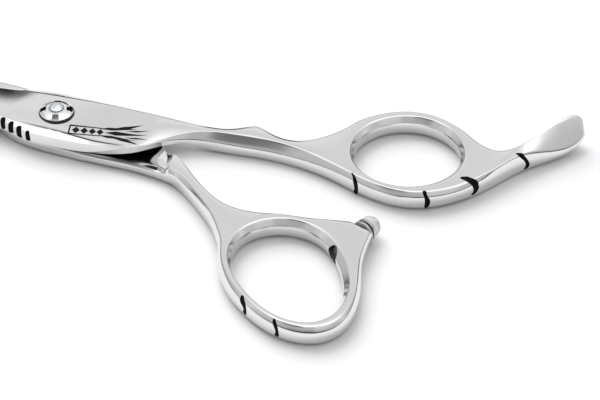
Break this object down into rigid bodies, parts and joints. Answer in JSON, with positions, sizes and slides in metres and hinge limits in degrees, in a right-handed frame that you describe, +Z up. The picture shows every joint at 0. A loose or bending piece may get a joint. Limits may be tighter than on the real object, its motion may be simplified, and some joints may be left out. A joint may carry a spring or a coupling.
{
  "type": "hair cutting shears",
  "caption": "Offset hair cutting shears with a finger rest, round tension screw, black grip grooves and a clear bumper on the thumb ring.",
  "frame": {"origin": "on the pivot axis, at the height of the table the shears lie on", "axes": "+X from the pivot to the point of the finger blade, +Z up along the pivot axis, +Y towards the thumb ring's side"},
  "size_m": [0.1652, 0.0753, 0.007],
  "materials": {
    "mirror_steel": "polished",
    "screw_steel": "satin",
    "bright_plate": "mirror polished",
    "bush_bronze": "machined",
    "glide_plastic": "matte",
    "black_enamel": "matte fill",
    "clear_silicone": "clear gloss",
    "clear_crystal": "faceted"
  },
  "bodies": {
    "finger_half": {"finger_blade": "mirror_steel", "finger_handle": "mirror_steel", "finger_groove_enamel_1": "black_enamel", "finger_groove_enamel_2": "black_enamel", "finger_groove_enamel_3": "black_enamel", "finger_groove_enamel_4": "black_enamel", "spine_notch_enamel_1": "black_enamel", "spine_notch_enamel_2": "black_enamel", "spine_notch_enamel_3": "black_enamel", "spine_notch_enamel_4": "black_enamel", "pivot_bush": "bush_bronze"},
    "thumb_half": {"thumb_blade": "mirror_steel", "thumb_handle": "mirror_steel", "thumb_groove_enamel_1": "black_enamel", "thumb_groove_enamel_2": "black_enamel", "pivot_screw": "screw_steel", "pivot_lock_nut": "screw_steel", "glide_washer": "glide_plastic", "wave_washer": "screw_steel", "click_plate": "screw_steel"},
    "dial": {"tension_dial": "bright_plate", "crystal_bezel": "bright_plate", "pivot_crystal": "clear_crystal"},
    "bumper": {"bumper_stud": "screw_steel", "bumper_ferrule": "bright_plate", "bumper_pad": "clear_silicone"}
  },
  "joints": [
    {"name": "blade_pivot", "type": "hinge", "parent": "finger_half", "child": "thumb_half", "pos_m": [0, 0, 0], "axis": [0, 0, -1], "range_deg": [-6, 50]},
    {"name": "dial_turn", "type": "hinge", "parent": "thumb_half", "child": "dial", "pos_m": [0, 0, 0.0055], "axis": [0, 0, 1], "range_deg": [-180, 180]},
    {"name": "bumper_turn", "type": "hinge", "parent": "thumb_half", "child": "bumper", "pos_m": [-0.0681, 0.0149, 0.0024], "axis": [-0.3827, -0.9239, 0], "range_deg": [-180, 180]}
  ]
}
